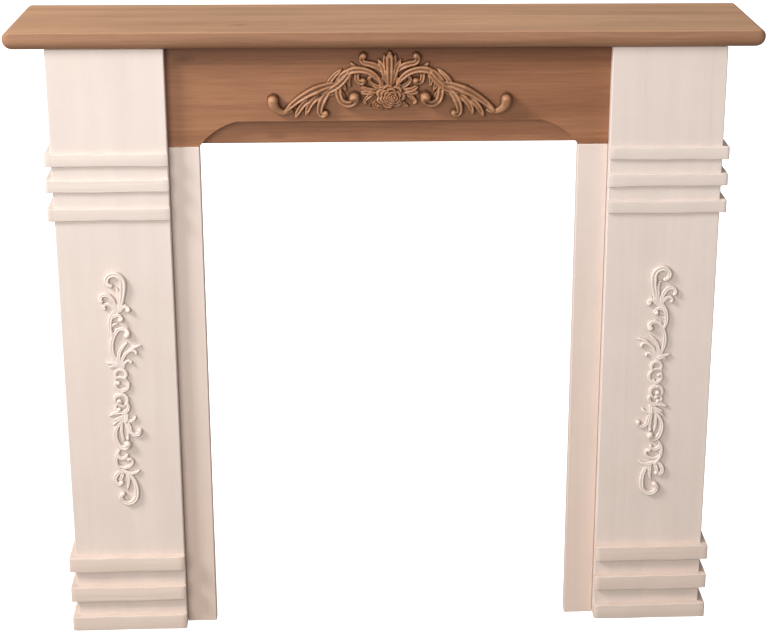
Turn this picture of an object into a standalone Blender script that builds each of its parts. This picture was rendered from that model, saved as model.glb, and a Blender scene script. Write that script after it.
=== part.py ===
"""Timber fireplace mantelpiece: a brown shelf and carved frieze on two cream pilasters, open at the back.

Metres, +Z up. The front faces -Y and the back stands against a wall. The origin is the middle of the
footprint, on the floor.
"""

import math
from collections import namedtuple

import bmesh
import bpy
from mathutils import Matrix, Vector

# Joints between pieces
GAP = 0.0003
ARRIS = 0.0012

# Shelf
SHELF_WIDTH = 1.100
SHELF_DEPTH = 0.2165
SHELF_THICKNESS = 0.026
SHELF_TOP = 0.963
SHELF_CORNER_ROUND = 0.013
SHELF_CORNER_STEPS = 3
SHELF_TOP_ROUND = 0.003
SHELF_TOP_STEPS = 2
SHELF_UNDER_ROUND = 0.011
SHELF_UNDER_STEPS = 4

# Pilasters: a front board on two side boards, open behind
PILASTER_WIDTH = 0.1705
END_OVERHANG = 0.0525
FRONT_OVERHANG = 0.012
BOARD = 0.018

# Laths that wrap the front and the outer side of each pilaster
LATHS = 3
LATH_PROUD = 0.010
LATH_ARRIS = 0.0018
CAPITAL_DROP = 0.253
CAPITAL_LATH = 0.019
CAPITAL_PITCH = 0.042
BASE_LATH = 0.0245
BASE_PITCH = 0.052

# Slips, the narrow upright boards that line the opening
SLIP_WIDTH = 0.046
SLIP_SETBACK = 0.0155

# Frieze board with its arched lower edge, and the rail behind it
FRIEZE_HEIGHT = 0.150
FRIEZE_SETBACK = 0.0165
ARCH_RISE = 0.0378
ARCH_FLAT_HALF = 0.2245
ARCH_ARC_RADIUS = 0.095
ARCH_ARC_STEPS = 8

# Carvings. Each is drawn in modules, as many to its own length as its MODULES value says. It is joined
# at MODULE metres to the module, large enough for clean joints, and then brought to its own size.
PILASTER_CARVING_HEIGHT = 0.3875
PILASTER_CARVING_MODULES = 380
PILASTER_CARVING_RISE = 0.00425
PILASTER_CARVING_RELIEF = 1.5
FRIEZE_CARVING_WIDTH = 0.361
FRIEZE_CARVING_MODULES = 354
FRIEZE_CARVING_DROP = 0.0525
FRIEZE_CARVING_RELIEF = 1.7
SECTION_LIFT = 0.35
ARC_STEP = 20.0
CURL_STEP = 60.0
CURL_SHRINK = 0.62
MODULE = 0.1
SAME_POINT = 0.001
BEAD_SEGMENTS = 8
BEAD_RINGS = 6

# Finishes: colour, roughness
WALNUT = ((0.30, 0.15, 0.075), 0.55)
CREAM = ((0.80, 0.70, 0.60), 0.6)

# Levels and faces that follow from the sizes above
SHELF_UNDERSIDE = SHELF_TOP - SHELF_THICKNESS
PIECES_TOP = SHELF_UNDERSIDE - GAP
FRONT = -SHELF_DEPTH / 2
BACK = SHELF_DEPTH / 2
PILASTER_FRONT = FRONT + FRONT_OVERHANG
PILASTER_OUTER = SHELF_WIDTH / 2 - END_OVERHANG
PILASTER_INNER = PILASTER_OUTER - PILASTER_WIDTH
SIDE_BOARD_FRONT = PILASTER_FRONT + BOARD + GAP
SLIP_INNER = PILASTER_INNER - SLIP_WIDTH
SLIP_FRONT = PILASTER_FRONT + SLIP_SETBACK
FRIEZE_FRONT = PILASTER_FRONT + FRIEZE_SETBACK
FRIEZE_BACK = FRIEZE_FRONT + BOARD
FRIEZE_BOTTOM = SHELF_UNDERSIDE - FRIEZE_HEIGHT
FRIEZE_HALF = PILASTER_INNER - GAP
SLIP_TOP = FRIEZE_BOTTOM - GAP
CAPITAL_BOTTOM = SHELF_UNDERSIDE - CAPITAL_DROP
PANEL_BOTTOM = (LATHS - 1) * BASE_PITCH + BASE_LATH
PILASTER_CARVING_MIDDLE = (PANEL_BOTTOM + CAPITAL_BOTTOM) / 2 + PILASTER_CARVING_RISE
FRIEZE_CARVING_MIDDLE = SHELF_UNDERSIDE - FRIEZE_CARVING_DROP

# A stroke of carving runs from its root to its tip along an arc that bows to its left by bow, then
# turns on by turn degrees in a curl that starts at radius curl. The last four are its half-widths.
Stroke = namedtuple("Stroke", "root tip bow curl turn start belly neck end")
Bead = namedtuple("Bead", "centre radius")

PILASTER_STROKES = (
    Stroke((3, 128), (10.5, 168), -2, 15, 265, 2.5, 5.0, 3.4, 3.4),
    Stroke((1, 128), (2, 158), -2, 5, 70, 2.0, 3.0, 2.0, 1.4),
    Stroke((-2, 126), (-9, 147), -2, 10, 190, 2.4, 3.4, 2.8, 3.0),
    Stroke((-3, 122), (-9, 134), -1, 7, 190, 2.2, 2.8, 2.4, 2.4),
    Stroke((0, 124), (11, 142), -1.5, 0, 0, 1.8, 2.2, 1.4, 0.9),
    Stroke((0, 121), (10, 131), 2, 6.5, -120, 2.2, 2.6, 2.6, 3.8),
    Stroke((-11, 105), (-1, 118), 3, 6.5, -150, 2.2, 2.8, 2.6, 4.0),
    Stroke((-1, 128), (-9, 88), -6, 0, 0, 2.5, 3.2, 2.8, 2.4),
    Stroke((1, 38), (-2, 93), 10, 11, -190, 2.4, 3.2, 2.8, 4.5),
    Stroke((-3, 96), (14, 99), -1, 0, 0, 2.0, 2.4, 1.6, 1.0),
    Stroke((1, 35), (12, 74), 7, 0, 0, 2.0, 3.0, 2.4, 1.4),
    Stroke((4, 36), (16, 62), 5, 8, -130, 2.0, 2.8, 2.2, 2.2),
    Stroke((12, 60), (32, 70), 2, 0, 0, 1.8, 2.8, 1.8, 1.0),
    Stroke((6, 36), (13, 46), 2.5, 4, -120, 1.8, 2.4, 2.0, 2.2),
    Stroke((3, 33), (-19, 43), -3, 0, 0, 2.4, 3.4, 2.2, 1.2),
    Stroke((-5.2, 18.8), (6.2, 18.8), 13.6, 0, 0, 2.0, 2.6, 2.6, 2.2),
    Stroke((7.2, 15.7), (-7, 12.3), 16.2, 0, 0, 2.2, 2.8, 2.6, 2.2),
    Stroke((-7, 18), (8, 16), 3, 0, 0, 2.0, 2.2, 2.2, 2.0),
    Stroke((4, 2), (-2, -9), 1, 0, 0, 2.4, 2.4, 2.4, 2.4),
    Stroke((-7.1, -24.3), (5.1, -24.3), 16.6, 0, 0, 2.2, 2.8, 2.6, 2.2),
    Stroke((5, -26), (-3, -19), 4, 0, 0, 2.0, 2.6, 3.0, 4.0),
    Stroke((-9, -25), (9, -24), -13, 0, 0, 2.0, 3.0, 2.8, 2.4),
    Stroke((3, -38), (-19, -43), -3, 0, 0, 2.4, 3.4, 2.0, 1.0),
    Stroke((9, -41), (-13, -50), -1, 0, 0, 1.8, 2.4, 1.8, 1.2),
    Stroke((5, -35), (5, -52), 1, 0, 0, 2.6, 3.0, 3.0, 2.4),
    Stroke((5, -49), (19, -45), -4, 0, 0, 1.8, 2.8, 2.4, 1.6),
    Stroke((4, -46), (10.5, -66), 1, 10, 195, 2.2, 3.0, 3.0, 3.4),
    Stroke((2, -50), (-7, -91), -9, 9.5, 155, 2.2, 3.0, 3.8, 5.4),
    Stroke((3, -52), (6, -80), 2, 0, 0, 2.0, 2.6, 2.2, 2.6),
    Stroke((-4, -95), (-4, -136), -9, 0, 0, 2.2, 2.8, 2.4, 2.2),
    Stroke((-9, -102), (4, -107), -8, 0, 0, 2.0, 3.0, 2.6, 2.4),
    Stroke((-9, -125), (11, -121), -5, 6, 150, 2.0, 2.6, 2.4, 3.0),
    Stroke((-5, -132), (21, -133), -5, 0, 0, 2.2, 3.0, 2.2, 1.2),
    Stroke((-2, -133), (-16, -146), -3, 8.5, 165, 2.4, 3.2, 3.0, 3.2),
    Stroke((1, -134), (1, -165), 3, 0, 0, 2.0, 3.0, 2.0, 1.0),
    Stroke((1, -134), (15, -176), 6, 15, -230, 2.2, 3.6, 3.2, 3.6),
)
PILASTER_BEADS = (Bead((-3.5, 10.5), 3.4), Bead((-4, -32), 3.2))

HALF_FRIEZE_STROKES = (
    Stroke((-82, -11), (-148, -41), -5, 16, -120, 3.6, 4.4, 4.6, 5.0),
    Stroke((-168, -39), (-171, -24), 1, 0, 0, 5.0, 5.4, 5.6, 5.6),
    Stroke((-106, -18), (-135, -51), -4, 0, 0, 2.4, 3.0, 2.0, 1.2),
    Stroke((-96, -16), (-120, -46), -4, 0, 0, 2.4, 3.0, 2.2, 1.4),
    Stroke((-86, -14), (-102, -42), -4, 6.5, 170, 2.6, 4.2, 3.2, 3.6),
    Stroke((-95, -16), (-61, 17), -2, 0, 0, 3.0, 4.8, 4.4, 3.4),
    Stroke((-66, 13), (-12, -3), 13, 0, 0, 3.2, 3.2, 2.6, 2.2),
    Stroke((-66, 13), (-73, -23), -3, 15.5, 190, 2.6, 3.0, 3.2, 4.4),
    Stroke((-59, 16), (-63, 2), -2, 0, 0, 1.8, 2.4, 1.8, 1.0),
    Stroke((-50, 18), (-56, 3), -2, 0, 0, 1.8, 2.4, 1.8, 1.0),
    Stroke((-40, 19), (-47, 2), -4, 6, 140, 2.2, 2.8, 2.6, 3.2),
    Stroke((-44, 20), (-56, 28), 1, 0, 0, 2.2, 2.4, 1.8, 1.0),
    Stroke((-8, 15), (-35, 29), -2, 9, -115, 3.0, 3.4, 2.6, 1.8),
    Stroke((-12, 4), (-12, -8), 0, 0, 0, 3.0, 3.0, 3.0, 3.0),
    Stroke((-3, -4), (-7, 38), -1, 0, 0, 2.4, 3.2, 2.6, 1.4),
    Stroke((-4, -4), (-15, 31), -2, 0, 0, 2.4, 3.2, 2.4, 1.4),
    Stroke((-2, -6), (-29, 1), 5, 5, -110, 2.4, 3.0, 2.4, 2.4),
    Stroke((-8, -10), (-44, -11), 2, 0, 0, 3.4, 5.0, 3.4, 1.2),
    Stroke((-6, -16), (-30, -21), -2, 4, 110, 2.6, 3.4, 2.6, 2.4),
    Stroke((-6, -24), (-25, -33), 2, 0, 0, 2.6, 3.6, 2.4, 1.2),
)
MIDDLE_STROKES = (
    Stroke((0, -8), (0, 42), 0, 0, 0, 3.0, 4.4, 4.6, 2.6),
    Stroke((2, -26), (-1, -39), 0, 0, 0, 4.0, 4.4, 3.2, 1.6),
    Stroke((0, -2), (-6, -20), -1, 0, 0, 3.0, 5.0, 5.4, 3.0),
)
ROSE_CENTRE = (3, -25)
ROSE_RADIUS = 8.5
ROSE_PETALS = 5
PETAL_RADIUS = 5.2
ROSE_HEART_RADIUS = 6.4


def finish(name, colour, roughness):
    """A painted or stained timber finish."""
    material = bpy.data.materials.new(name)
    material.use_nodes = True
    shader = material.node_tree.nodes["Principled BSDF"]
    shader.inputs["Base Color"].default_value = (*colour, 1.0)
    shader.inputs["Roughness"].default_value = roughness
    shader.inputs["Metallic"].default_value = 0.0
    return material


def new_collection(name):
    collection = bpy.data.collections.new(name)
    bpy.context.scene.collection.children.link(collection)
    return collection


def add_object(name, data, collection):
    obj = bpy.data.objects.new(name, data)
    collection.objects.link(obj)
    return obj


def set_finish(obj, material):
    obj.data.materials.clear()
    obj.data.materials.append(material)


def board(name, low, high, collection, material, arris=ARRIS):
    """A plain board between two corners, its edges eased by arris."""
    low, high = Vector(low), Vector(high)
    bm = bmesh.new()
    bmesh.ops.create_cube(bm, size=1.0)
    bmesh.ops.scale(bm, vec=high - low, verts=bm.verts)
    mesh = bpy.data.meshes.new(name)
    bm.to_mesh(mesh)
    bm.free()
    obj = add_object(name, mesh, collection)
    obj.location = (low + high) / 2
    eased = obj.modifiers.new("eased edges", "BEVEL")
    eased.width = arris
    eased.segments = 1
    set_finish(obj, material)
    return obj


def mirrored_span(side, inner, outer):
    """The low and high x of a span that is given for the right-hand side."""
    return (inner, outer) if side > 0 else (-outer, -inner)


def shelf_profile():
    """The shelf's moulded edge from top to bottom: how far in, and at what height."""
    levels = []
    for step in range(SHELF_TOP_STEPS + 1):
        angle = math.pi / 2 * step / SHELF_TOP_STEPS
        inset = SHELF_TOP_ROUND * (1 - math.sin(angle))
        levels.append((inset, SHELF_TOP - SHELF_TOP_ROUND * (1 - math.cos(angle))))
    for step in range(SHELF_UNDER_STEPS + 1):
        angle = math.pi / 2 * step / SHELF_UNDER_STEPS
        inset = SHELF_UNDER_ROUND * (1 - math.cos(angle))
        levels.append((inset, SHELF_UNDERSIDE + SHELF_UNDER_ROUND * (1 - math.sin(angle))))
    return levels


def shelf_outline(inset):
    """The shelf's outline in plan, drawn in by inset at the front and the ends but not at the wall."""
    centre_x = SHELF_WIDTH / 2 - SHELF_CORNER_ROUND
    centre_y = FRONT + SHELF_CORNER_ROUND
    radius = SHELF_CORNER_ROUND - inset
    half = [(SHELF_WIDTH / 2 - inset, BACK)]
    for step in range(SHELF_CORNER_STEPS + 1):
        angle = math.pi / 2 * step / SHELF_CORNER_STEPS
        half.append((centre_x + radius * math.cos(angle), centre_y - radius * math.sin(angle)))
    return half + [(-x, y) for x, y in reversed(half)]


def build_shelf(collection, material):
    """The shelf: square at the wall, softly rounded above and fully rounded below at front and ends."""
    bm = bmesh.new()
    rings = []
    for inset, z in shelf_profile():
        rings.append([bm.verts.new((x, y, z)) for x, y in shelf_outline(inset)])
    for upper, lower in zip(rings, rings[1:]):
        for corner in range(len(upper) - 1):
            bm.faces.new((upper[corner], lower[corner], lower[corner + 1], upper[corner + 1]))
    bm.faces.new(rings[0])
    bm.faces.new(reversed(rings[-1]))
    bm.faces.new([ring[0] for ring in reversed(rings)] + [ring[-1] for ring in rings])
    bmesh.ops.recalc_face_normals(bm, faces=bm.faces)
    mesh = bpy.data.meshes.new("mantel_shelf")
    bm.to_mesh(mesh)
    bm.free()
    shelf = add_object("mantel_shelf", mesh, collection)
    set_finish(shelf, material)
    return shelf


def arch_arc(side):
    """Points of the arc from the flat of the arch down to the corner over the slip, for one side."""
    top = Vector((ARCH_FLAT_HALF, FRIEZE_BOTTOM + ARCH_RISE))
    foot = Vector((SLIP_INNER, FRIEZE_BOTTOM))
    chord = foot - top
    to_centre = math.sqrt(ARCH_ARC_RADIUS**2 - (chord.length / 2) ** 2)
    inward = Vector((chord.y, -chord.x)).normalized()
    centre = (top + foot) / 2 + inward * to_centre
    first = math.atan2(top.y - centre.y, top.x - centre.x)
    last = math.atan2(foot.y - centre.y, foot.x - centre.x)
    points = []
    for step in range(ARCH_ARC_STEPS + 1):
        angle = first + (last - first) * step / ARCH_ARC_STEPS
        x = centre.x + ARCH_ARC_RADIUS * math.cos(angle)
        z = centre.y + ARCH_ARC_RADIUS * math.sin(angle)
        points.append((side * x, z))
    return points


def build_frieze_board(collection, material):
    """The frieze board, cut out below in a low arch with round shoulders."""
    outline = [(-FRIEZE_HALF, PIECES_TOP), (-FRIEZE_HALF, FRIEZE_BOTTOM)]
    outline += reversed(arch_arc(-1))
    outline += arch_arc(1)
    outline += [(FRIEZE_HALF, FRIEZE_BOTTOM), (FRIEZE_HALF, PIECES_TOP)]
    curve = bpy.data.curves.new("frieze_board", "CURVE")
    curve.dimensions = "2D"
    curve.fill_mode = "BOTH"
    curve.extrude = BOARD / 2
    spline = curve.splines.new("POLY")
    spline.points.add(len(outline) - 1)
    for point, (x, z) in zip(spline.points, outline):
        point.co = (x, z, 0, 1)
    spline.use_cyclic_u = True
    frieze = add_object("frieze_board", curve, collection)
    frieze.rotation_euler = (math.pi / 2, 0, 0)
    frieze.location = (0, (FRIEZE_FRONT + FRIEZE_BACK) / 2, 0)
    set_finish(frieze, material)
    return frieze


def stroke_path(stroke):
    """The stroke's centre line: points and the share of the way along each, from 0 to 1."""
    root, tip = Vector(stroke.root), Vector(stroke.tip)
    chord = tip - root
    half_angle = 2 * math.atan2(2 * abs(stroke.bow), chord.length)
    swing = math.copysign(half_angle, stroke.bow)
    heading = math.atan2(chord.y, chord.x) + swing
    arc_length = chord.length
    if half_angle > 0:
        arc_length = chord.length * half_angle / math.sin(half_angle)
    steps = max(2, math.ceil(arc_length / ARC_STEP), math.ceil(math.degrees(2 * half_angle) / CURL_STEP))
    turn_each = -2 * swing / steps
    half_step = turn_each / 2
    advance = arc_length / steps
    if half_step:
        advance *= math.sin(half_step) / half_step
    point = root.copy()
    points = [point.copy()]
    for _ in range(steps):
        middle = heading + half_step
        point += Vector((math.cos(middle), math.sin(middle))) * advance
        heading += turn_each
        points.append(point.copy())
    curl_steps = math.ceil(abs(stroke.turn) / CURL_STEP)
    for step in range(curl_steps):
        each = math.radians(stroke.turn) / curl_steps
        radius = stroke.curl * (1 - CURL_SHRINK * (step + 0.5) / curl_steps)
        middle = heading + each / 2
        point += Vector((math.cos(middle), math.sin(middle))) * 2 * radius * math.sin(abs(each) / 2)
        heading += each
        points.append(point.copy())
    travelled = [0.0]
    for a, b in zip(points, points[1:]):
        travelled.append(travelled[-1] + (b - a).length)
    return points, [t / travelled[-1] for t in travelled]


def stroke_half_width(stroke, share):
    """The half-width at a share of the stroke's length."""
    stops = ((0.0, stroke.start), (0.4, stroke.belly), (0.85, stroke.neck), (1.0, stroke.end))
    for (a, wide_a), (b, wide_b) in zip(stops, stops[1:]):
        if share <= b:
            return wide_a + (wide_b - wide_a) * (share - a) / (b - a)
    return stroke.end


def mirrored_stroke(stroke):
    return stroke._replace(
        root=(-stroke.root[0], stroke.root[1]),
        tip=(-stroke.tip[0], stroke.tip[1]),
        bow=-stroke.bow,
        turn=-stroke.turn,
    )


def stroke_blank(stroke, relief, cutters):
    """One stroke as a closed tube, flattened or raised by relief, lying half sunk in the board's face."""
    points, shares = stroke_path(stroke)
    curve = bpy.data.curves.new("stroke", "CURVE")
    curve.dimensions = "3D"
    curve.twist_mode = "Z_UP"
    curve.fill_mode = "FULL"
    curve.bevel_depth = MODULE
    curve.bevel_resolution = 1
    curve.use_fill_caps = True
    spline = curve.splines.new("POLY")
    spline.points.add(len(points) - 1)
    for spline_point, point, share in zip(spline.points, points, shares):
        spline_point.co = (point.x * MODULE, point.y * MODULE, 0, 1)
        spline_point.radius = stroke_half_width(stroke, share)
    drawn = add_object("stroke", curve, cutters)
    bpy.context.view_layer.update()
    seen = drawn.evaluated_get(bpy.context.evaluated_depsgraph_get())
    mesh = bpy.data.meshes.new_from_object(seen)
    bpy.data.objects.remove(drawn)
    bm = bmesh.new()
    bm.from_mesh(mesh)
    bmesh.ops.remove_doubles(bm, verts=bm.verts, dist=SAME_POINT)
    for vertex in bm.verts:
        vertex.co.z = vertex.co.z * relief + SECTION_LIFT * stroke.belly * MODULE
    bm.to_mesh(mesh)
    bm.free()
    return mesh


def bead_blank(bead, relief):
    """A round boss, raised by relief."""
    bm = bmesh.new()
    bmesh.ops.create_uvsphere(bm, u_segments=BEAD_SEGMENTS, v_segments=BEAD_RINGS, radius=bead.radius * MODULE)
    lift = SECTION_LIFT * bead.radius * MODULE
    for vertex in bm.verts:
        vertex.co.z = vertex.co.z * relief / 1.4 + lift
        vertex.co.x += bead.centre[0] * MODULE
        vertex.co.y += bead.centre[1] * MODULE
    mesh = bpy.data.meshes.new("bead")
    bm.to_mesh(mesh)
    bm.free()
    return mesh


def weld(mesh):
    """Joins points that lie within SAME_POINT of each other, and drops what is left without a face."""
    bm = bmesh.new()
    bm.from_mesh(mesh)
    bmesh.ops.remove_doubles(bm, verts=bm.verts, dist=SAME_POINT)
    bmesh.ops.dissolve_degenerate(bm, edges=bm.edges, dist=SAME_POINT)
    loose = [vertex for vertex in bm.verts if not vertex.link_faces]
    bmesh.ops.delete(bm, geom=loose, context="VERTS")
    bm.to_mesh(mesh)
    bm.free()


def carve(name, strokes, beads, relief, cutters):
    """A pierced carving: every stroke and bead joined in one solid, planed flat behind."""
    blanks = [stroke_blank(stroke, relief, cutters) for stroke in strokes]
    blanks += [bead_blank(bead, relief) for bead in beads]
    joined = new_collection(name + "_blanks")
    carving = add_object(name, blanks[0], cutters)
    for mesh in blanks[1:]:
        blank = add_object("blank", mesh, joined)
        blank.hide_render = True
        blank.display_type = "WIRE"
    union = carving.modifiers.new("joined", "BOOLEAN")
    union.operation = "UNION"
    union.solver = "EXACT"
    union.use_self = True
    union.operand_type = "COLLECTION"
    union.collection = joined
    reach = max(PILASTER_CARVING_MODULES, FRIEZE_CARVING_MODULES) * MODULE
    plane_block = bmesh.new()
    bmesh.ops.create_cube(plane_block, size=1.0)
    bmesh.ops.scale(plane_block, vec=(2 * reach, 2 * reach, reach), verts=plane_block.verts)
    bmesh.ops.translate(plane_block, vec=(0, 0, -reach / 2), verts=plane_block.verts)
    block_mesh = bpy.data.meshes.new("planed_back")
    plane_block.to_mesh(block_mesh)
    plane_block.free()
    block = add_object("planed_back", block_mesh, cutters)
    block.hide_render = True
    block.display_type = "WIRE"
    planed = carving.modifiers.new("planed back", "BOOLEAN")
    planed.operation = "DIFFERENCE"
    planed.solver = "EXACT"
    planed.use_self = True
    planed.object = block
    bpy.context.view_layer.update()
    seen = carving.evaluated_get(bpy.context.evaluated_depsgraph_get())
    mesh = bpy.data.meshes.new_from_object(seen)
    for blank in list(joined.objects):
        bpy.data.objects.remove(blank)
    bpy.data.collections.remove(joined)
    bpy.data.objects.remove(block)
    bpy.data.objects.remove(carving)
    weld(mesh)
    mesh.name = name
    return mesh


def place_carving(name, mesh, unit, place, collection, material):
    """Sets a carving upright on its board, with unit as the length of one module."""
    mesh.transform(Matrix.Scale(unit / MODULE, 4))
    carving = add_object(name, mesh, collection)
    carving.rotation_euler = (math.pi / 2, 0, 0)
    carving.location = place
    set_finish(carving, material)
    return carving


def build_pilaster(side, word, collection, material):
    """A pilaster's three boards, its slip and its laths. side is -1 on the left and 1 on the right."""
    left, right = mirrored_span(side, PILASTER_INNER, PILASTER_OUTER)
    board(
        f"pilaster_front_{word}",
        (left, PILASTER_FRONT, 0),
        (right, PILASTER_FRONT + BOARD, PIECES_TOP),
        collection,
        material,
    )
    outer = mirrored_span(side, PILASTER_OUTER - BOARD, PILASTER_OUTER)
    inner = mirrored_span(side, PILASTER_INNER, PILASTER_INNER + BOARD)
    for place, (low_x, high_x) in (("outer", outer), ("inner", inner)):
        board(
            f"pilaster_{place}_side_{word}",
            (low_x, SIDE_BOARD_FRONT, 0),
            (high_x, BACK, PIECES_TOP),
            collection,
            material,
        )
    low_x, high_x = mirrored_span(side, SLIP_INNER, PILASTER_INNER - GAP)
    board(
        f"slip_{word}",
        (low_x, SLIP_FRONT, 0),
        (high_x, SLIP_FRONT + BOARD, SLIP_TOP),
        collection,
        material,
    )
    for row in range(LATHS):
        build_laths(side, f"base_{word}_{row + 1}", row * BASE_PITCH, BASE_LATH, collection, material)
        capital_z = CAPITAL_BOTTOM + row * CAPITAL_PITCH
        build_laths(side, f"capital_{word}_{row + 1}", capital_z, CAPITAL_LATH, collection, material)


def build_laths(side, label, bottom, height, collection, material):
    """One course of lath: a strip across the front, butted to a strip along the outer side."""
    low_x, high_x = mirrored_span(side, PILASTER_INNER, PILASTER_OUTER)
    board(
        f"{label}_front_lath",
        (low_x, PILASTER_FRONT - LATH_PROUD, bottom),
        (high_x, PILASTER_FRONT - GAP, bottom + height),
        collection,
        material,
        LATH_ARRIS,
    )
    low_x, high_x = mirrored_span(side, PILASTER_OUTER + GAP, PILASTER_OUTER + LATH_PROUD)
    board(
        f"{label}_side_lath",
        (low_x, PILASTER_FRONT - LATH_PROUD, bottom),
        (high_x, BACK, bottom + height),
        collection,
        material,
        LATH_ARRIS,
    )


def frieze_strokes():
    strokes = list(HALF_FRIEZE_STROKES)
    strokes += [mirrored_stroke(stroke) for stroke in HALF_FRIEZE_STROKES]
    strokes += MIDDLE_STROKES
    return strokes


def rose_beads():
    """A ring of petals round a heart."""
    beads = [Bead(ROSE_CENTRE, ROSE_HEART_RADIUS)]
    for petal in range(ROSE_PETALS):
        angle = 2 * math.pi * petal / ROSE_PETALS + math.pi / 10
        x = ROSE_CENTRE[0] + ROSE_RADIUS * math.cos(angle)
        z = ROSE_CENTRE[1] + ROSE_RADIUS * math.sin(angle)
        beads.append(Bead((x, z), PETAL_RADIUS))
    return beads


def build_carvings(collection, cutters, walnut, cream):
    unit = PILASTER_CARVING_HEIGHT / PILASTER_CARVING_MODULES
    middle_x = (PILASTER_INNER + PILASTER_OUTER) / 2
    drop = carve("pilaster_drop", PILASTER_STROKES, PILASTER_BEADS, PILASTER_CARVING_RELIEF, cutters)
    mirrored = drop.copy()
    mirrored.transform(Matrix.Scale(-1, 4, (1, 0, 0)))
    mirrored.flip_normals()
    for side, word, mesh in ((-1, "left", drop), (1, "right", mirrored)):
        place_carving(
            f"pilaster_carving_{word}",
            mesh,
            unit,
            (side * middle_x, PILASTER_FRONT - GAP, PILASTER_CARVING_MIDDLE),
            collection,
            cream,
        )
    spray = carve("frieze_spray", frieze_strokes(), rose_beads(), FRIEZE_CARVING_RELIEF, cutters)
    place_carving(
        "frieze_carving",
        spray,
        FRIEZE_CARVING_WIDTH / FRIEZE_CARVING_MODULES,
        (0, FRIEZE_FRONT - GAP, FRIEZE_CARVING_MIDDLE),
        collection,
        walnut,
    )


def main():
    for obj in list(bpy.data.objects):
        bpy.data.objects.remove(obj)
    collection = new_collection("mantelpiece")
    cutters = new_collection("cutters")
    walnut = finish("walnut_stain", *WALNUT)
    cream = finish("cream_paint", *CREAM)
    build_shelf(collection, walnut)
    build_frieze_board(collection, walnut)
    board(
        "arch_rail",
        (-FRIEZE_HALF, FRIEZE_BACK + GAP, FRIEZE_BOTTOM),
        (FRIEZE_HALF, FRIEZE_BACK + GAP + BOARD, PIECES_TOP),
        collection,
        walnut,
    )
    for side, word in ((-1, "left"), (1, "right")):
        build_pilaster(side, word, collection, cream)
    build_carvings(collection, cutters, walnut, cream)


main()
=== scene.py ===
"""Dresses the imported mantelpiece: stained and painted timber, fine carving, floor, light and camera.

Metres, +Z up, in the row frame: the front faces -Y and the origin is the middle of the footprint.
"""

import math
from collections import namedtuple

import bpy
import numpy as np
from mathutils import Matrix, Vector


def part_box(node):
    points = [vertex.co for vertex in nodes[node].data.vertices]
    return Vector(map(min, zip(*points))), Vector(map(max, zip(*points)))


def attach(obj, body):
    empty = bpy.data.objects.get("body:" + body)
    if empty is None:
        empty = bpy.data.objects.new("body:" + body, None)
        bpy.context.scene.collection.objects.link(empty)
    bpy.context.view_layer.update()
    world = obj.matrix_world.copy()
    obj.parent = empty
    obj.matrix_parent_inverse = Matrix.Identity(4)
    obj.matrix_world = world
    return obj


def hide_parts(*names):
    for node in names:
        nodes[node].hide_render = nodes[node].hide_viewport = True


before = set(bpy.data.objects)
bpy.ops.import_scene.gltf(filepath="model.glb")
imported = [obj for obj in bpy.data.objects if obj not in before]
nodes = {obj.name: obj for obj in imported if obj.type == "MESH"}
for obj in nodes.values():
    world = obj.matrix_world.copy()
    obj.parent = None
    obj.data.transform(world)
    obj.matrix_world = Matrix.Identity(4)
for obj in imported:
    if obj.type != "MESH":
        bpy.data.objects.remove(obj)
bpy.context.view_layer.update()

# Shelf. Its ends are sawn out of square: each runs out further at the front by its skew. The corner's
# plan is fuller than a quarter circle, and the first steps of the ends' rounding lie within the top edge's.
SHELF_CORNER_ROUND = 0.0160
SHELF_END_FULLNESS = 0.55
SHELF_SKEW = {"left": 0.0058, "right": 0.0012}
SHELF_TOP_ROUND = 0.0018
SHELF_END_ROUND = 0.0095
SHELF_UNDER_ROUND = 0.0150
SHELF_CORNER_STEPS = 10
SHELF_ROUND_STEPS = 10
SHELF_END_FIRST_STEP = 5
SHARP_EDGE = 40

# Laths. They are cut and set by hand, so each course sits a little off its level. The drops run from
# the lowest course to the highest.
LATH_PROUD = 0.010
FRONT_PROUD = {"capital": 0.0048, "base": 0.0097}
LATH_CORNER = 0.0030
LATH_CORNER_STEPS = 12
LATH_END_PROUD = 0.80
LATH_TOP_ROUND = 0.0017
LATH_TOP_STEPS = 6
LATH_UNDER_ROUND = 0.0010
LATH_UNDER_STEPS = 4
LATH_STEP = 0.004
LATH_WAVER = 0.0006
LATH_WAVES = (0.31, 0.13, 0.057)
LATH_SEAT = 0.0001
LATH_COURSES = 3
CAPITAL_DROPS = {"left": (0.0038, 0.0022, 0.0048), "right": (0.0002, 0.0004, 0.0012)}
BASE_DROPS = {"left": (0.0, 0.0004, 0.0010), "right": (0.0, 0.0, 0.0)}

# Carvings. One module is about a millimetre. The grounds and their spacings are in modules.
PILASTER_UNIT = 0.3875 / 380
PILASTER_CARVING_MIDDLE = 0.4105
PILASTER_GROUND = ((-30, -200), (40, 196), 0.5)
PILASTER_RELIEF = 1.2
PILASTER_FULLNESS = 1.08
PILASTER_BEAD_RISE = 1.3
FRIEZE_UNIT = 0.361 / 354
FRIEZE_CARVING_MIDDLE = 0.8845
FRIEZE_GROUND = ((-182, -56), (182, 50), 0.55)
FRIEZE_RELIEF = 2.1
FRIEZE_FULLNESS = 1.36
CARVING_CLEARANCE = 0.0003
CARVING_SHARP_EDGE = 62

# Sections of the carved strokes. A stroke stands CARVING_EDGE high at its outline. Its channel opens
# where it is wide enough, and closes towards its two ends. It stands higher towards its tip.
CARVING_EDGE = 1.6
CHANNEL_DEPTH = 0.34
CHANNEL_SPREAD = 0.42
CHANNEL_LEAST_WIDTH = 2.0
CHANNEL_WIDTH_FADE = 1.2
CHANNEL_START_FADE = 0.15
CHANNEL_END = 0.97
CHANNEL_END_FADE = 0.12
SWELL_START = 0.72
SWELL_GAIN = 0.38
CURL_SHRINK = 0.62
STROKE_STEP = 1.2
STROKE_TURN = 7.0
STROKE_LEAST_STEPS = 6

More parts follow.
